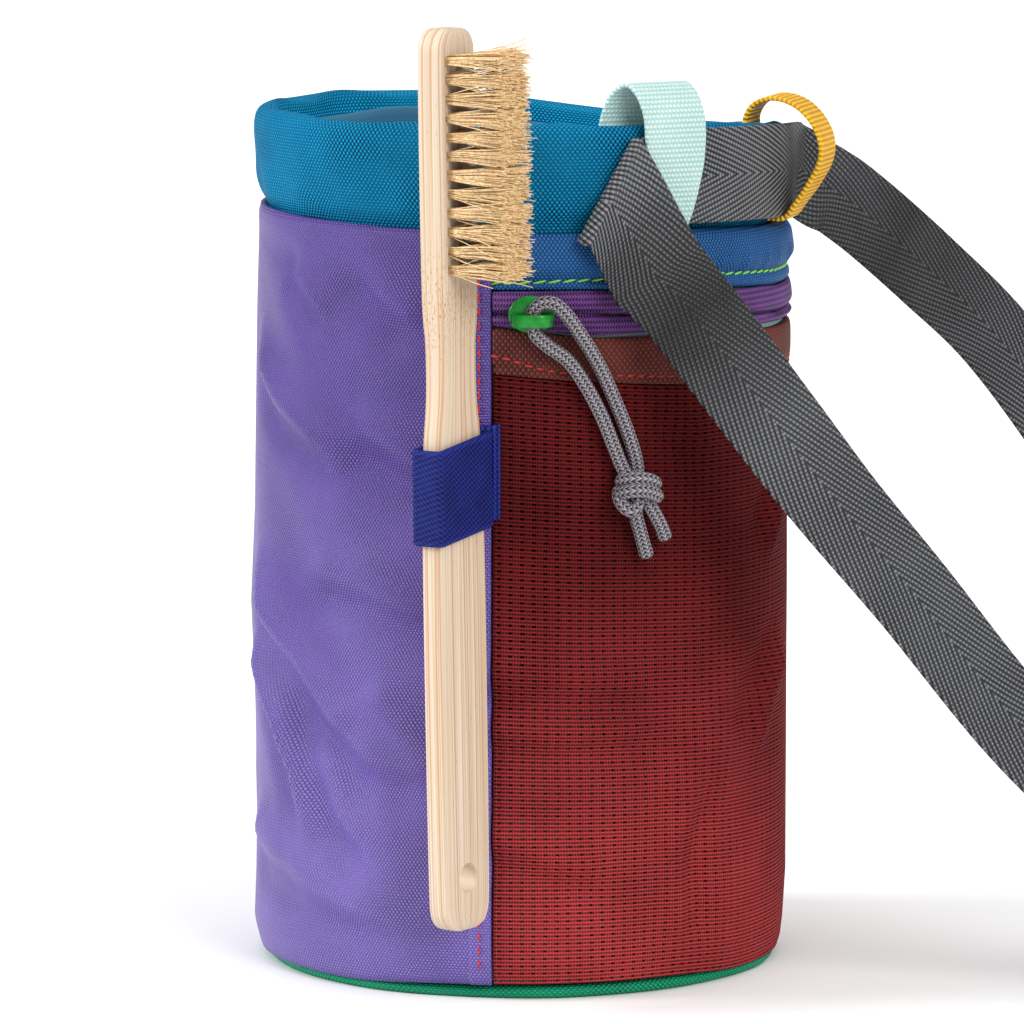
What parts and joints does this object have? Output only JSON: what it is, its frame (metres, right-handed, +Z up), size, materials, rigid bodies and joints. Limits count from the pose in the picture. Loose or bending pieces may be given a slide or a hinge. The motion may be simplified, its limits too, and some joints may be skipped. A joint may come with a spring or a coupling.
{
  "type": "climbing chalk bag with brush and belt",
  "caption": "Soft cylindrical chalk bag with a padded collar, zipped mesh pocket, webbing waist belt and a brush that slides in an elastic loop.",
  "frame": {"origin": "centre of the base's flat underside", "axes": "+Z up along the bag's axis; the front with the brush and the zip pull faces -Y; +X is to the right of the front view, where the belt runs out"},
  "size_m": [0.3349, 0.1416, 0.2061],
  "materials": {
    "base_cloth": "woven",
    "shell_cloth": "woven nylon with a slight sheen",
    "panel_cloth": "woven",
    "mesh_cloth": "open mesh",
    "binding_elastic": "ribbed elastic",
    "zip_tape": "woven tape",
    "band_cloth": "woven nylon",
    "collar_cloth": "coarse basket weave",
    "lining_cloth": "matt",
    "loop_elastic": "ribbed elastic",
    "belt_webbing": "herringbone webbing",
    "buckle_plastic": "moulded",
    "mint_webbing": "flat webbing",
    "mustard_webbing": "ribbed webbing",
    "slider_enamel": "satin enamel",
    "cord_braid": "braided",
    "bamboo": "bare, sanded",
    "bristle": "stiff natural-coloured bristle"
  },
  "bodies": {
    "bag": {"base_panel": "base_cloth", "shell_panel": "shell_cloth", "pocket_panel": "panel_cloth", "mesh_pocket": "mesh_cloth", "mesh_binding": "binding_elastic", "zip_tape_upper": "zip_tape", "zip_tape_lower": "zip_tape", "zip_band": "band_cloth", "collar": "collar_cloth", "lining": "lining_cloth", "brush_loop": "loop_elastic", "belt": "belt_webbing", "belt_buckle": "buckle_plastic", "mint_loop": "mint_webbing", "mustard_loop": "mustard_webbing", "zip_slider": "slider_enamel", "pull_cord": "cord_braid", "cord_tail_left": "cord_braid", "cord_tail_right": "cord_braid", "pull_knot": "cord_braid"},
    "brush": {"brush_handle": "bamboo", "brush_bristles": "bristle"}
  },
  "joints": [
    {"name": "brush_slide", "type": "slide", "parent": "bag", "child": "brush", "axis": [-0.015, 0, 0.9999], "range_m": [-0.015, 0.11]}
  ]
}
